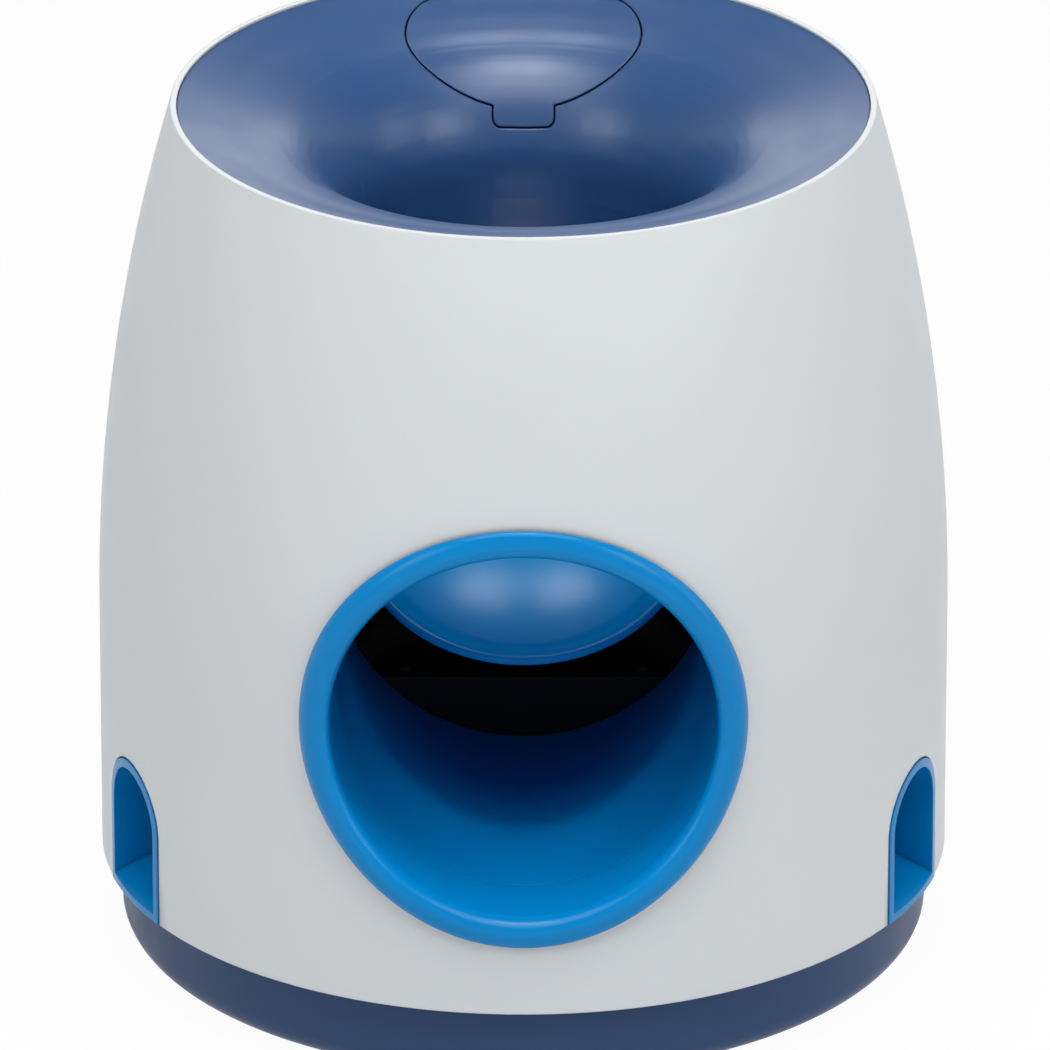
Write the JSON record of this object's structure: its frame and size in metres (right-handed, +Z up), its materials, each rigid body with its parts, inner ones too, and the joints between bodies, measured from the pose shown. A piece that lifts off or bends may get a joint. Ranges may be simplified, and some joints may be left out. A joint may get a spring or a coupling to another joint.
{
  "type": "dog treat puzzle",
  "caption": "Barrel-shaped treat puzzle for dogs: a ball dropped into the funnel tips a weighted flap, rolls out of the front chute and lets treats slide out at the sides.",
  "frame": {"origin": "on the floor under the middle of the toy", "axes": "+Z up, -Y towards the ball outlet, +X to the right as seen from the front"},
  "size_m": [0.17, 0.1722, 0.177],
  "materials": {
    "shell_grey": "satin moulded plastic",
    "funnel_blue": "satin moulded plastic",
    "light_blue": "glossy moulded plastic",
    "navy": "matt moulded plastic",
    "steel": "bright zinc",
    "brass": "turned",
    "rubber": "matt"
  },
  "bodies": {
    "housing": {"base_pan": "navy", "foot_ring": "rubber", "base_screws": "steel", "body_shell": "shell_grey", "funnel": "funnel_blue", "funnel_screws": "steel", "lid_hinge_pin": "steel", "hopper": "navy", "hopper_screws": "steel", "chute_bezel": "light_blue", "chute_ring": "light_blue", "ball_chute": "light_blue", "ball_guide": "navy", "chute_screws": "steel", "axle_bushes": "brass", "treat_slide": "navy", "slide_screws": "steel", "exit_duct_left": "light_blue", "exit_duct_right": "light_blue"},
    "lid": {"fill_lid": "funnel_blue"},
    "flap": {"ball_flap": "light_blue", "flap_axle": "steel", "metering_shutter": "light_blue", "counterweight_levers": "light_blue", "counterweights": "steel"}
  },
  "joints": [
    {"name": "lid_hinge", "type": "hinge", "parent": "housing", "child": "lid", "pos_m": [0, 0.06424, 0.17395], "axis": [-1, 0, 0], "range_deg": [0, 105]},
    {"name": "flap_hinge", "type": "hinge", "parent": "housing", "child": "flap", "pos_m": [0, 0.042, 0.106], "axis": [1, 0, 0], "range_deg": [0, 20]}
  ]
}
